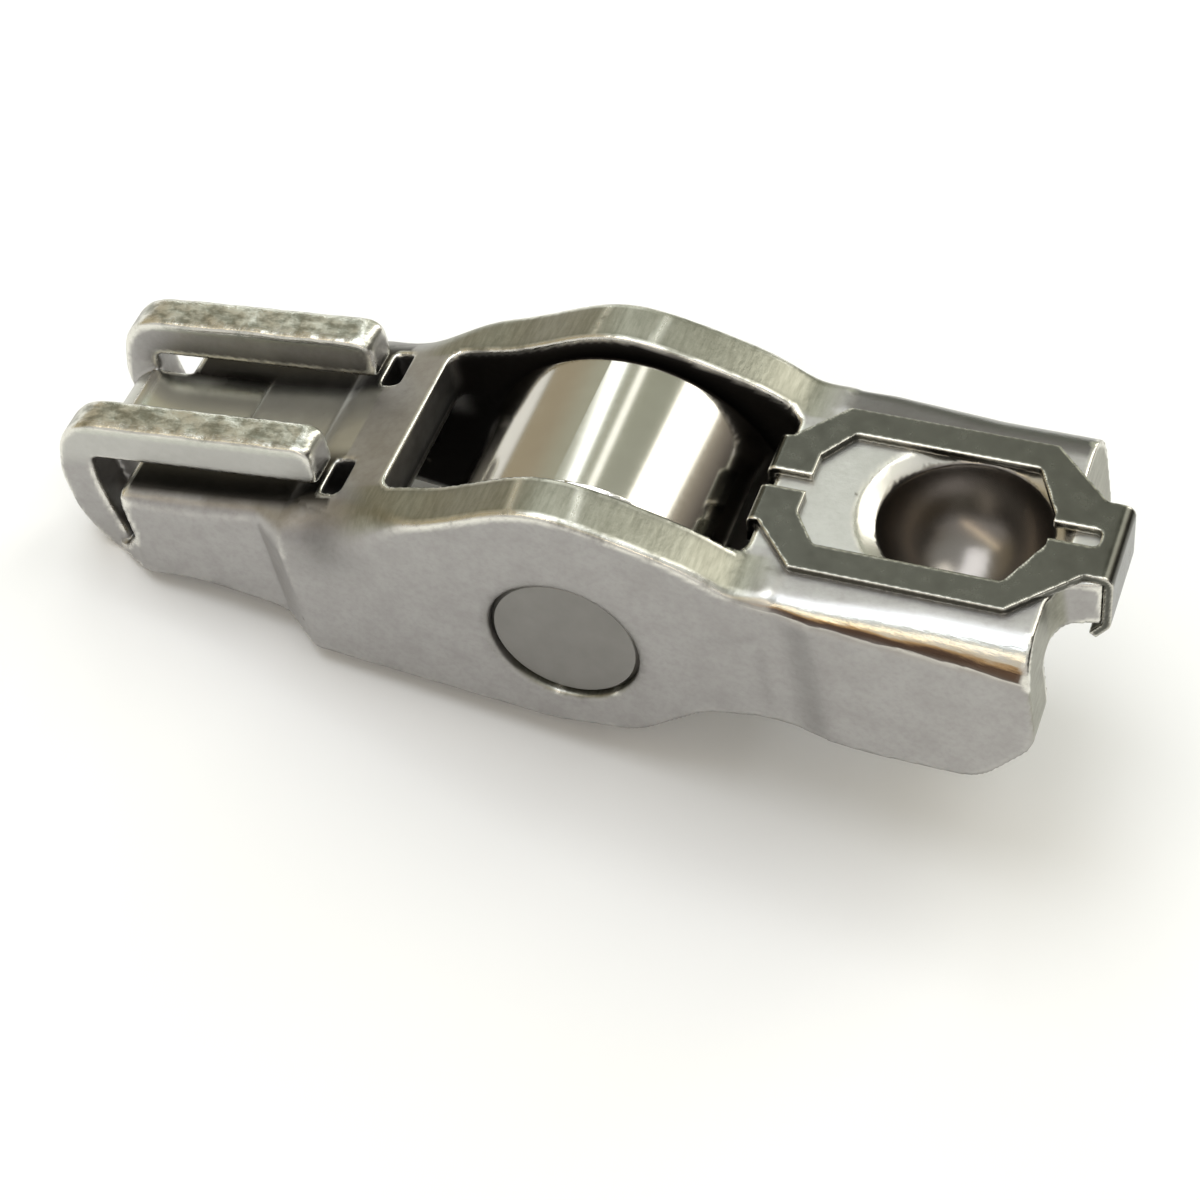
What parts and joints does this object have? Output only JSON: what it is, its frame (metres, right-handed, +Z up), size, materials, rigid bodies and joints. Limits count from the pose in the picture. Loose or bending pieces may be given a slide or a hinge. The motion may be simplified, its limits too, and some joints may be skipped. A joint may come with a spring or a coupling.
{
  "type": "roller finger follower",
  "caption": "Stamped steel rocker arm that pivots on a ball socket, with a cam roller on needle rollers in the middle, a valve pad between guide ears and a spring clip.",
  "frame": {"origin": "centre of the ball socket's sphere", "axes": "the follower as it rests on its roller and the toes of its valve end: +X from the valve pad to the ball socket, +Y along the roller pin, +Z up"},
  "size_m": [0.0541, 0.016, 0.0194],
  "materials": {
    "stamped_steel": "case-hardened sheet steel, tumbled to a satin grey",
    "pin_steel": "hardened pin with a dull end face",
    "ground_steel": "bearing steel, ground and honed bright",
    "spring_steel": "dark tempered spring strip",
    "needle_steel": "bearing steel, ground"
  },
  "bodies": {
    "arm": {"arm": "stamped_steel", "roller_pin": "pin_steel", "retaining_clip": "spring_steel"},
    "roller": {"roller_ring": "ground_steel"},
    "needle_set": {"needle_01": "needle_steel", "needle_02": "needle_steel", "needle_03": "needle_steel", "needle_04": "needle_steel", "needle_05": "needle_steel", "needle_06": "needle_steel", "needle_07": "needle_steel", "needle_08": "needle_steel", "needle_09": "needle_steel", "needle_10": "needle_steel", "needle_11": "needle_steel", "needle_12": "needle_steel", "needle_13": "needle_steel", "needle_14": "needle_steel", "needle_15": "needle_steel", "needle_16": "needle_steel", "needle_17": "needle_steel", "needle_18": "needle_steel"}
  },
  "joints": [
    {"name": "roller_spin", "type": "hinge", "parent": "arm", "child": "roller", "pos_m": [-0.01728, 0, -0.00859], "axis": [0, 1, 0], "continuous": true},
    {"name": "needle_orbit", "type": "hinge", "parent": "arm", "child": "needle_set", "pos_m": [-0.01728, 0, -0.00859], "axis": [0, 1, 0], "continuous": true}
  ],
  "couplings": [
    {"joint": "needle_orbit", "follows": "roller_spin", "ratio": 0.58506}
  ]
}
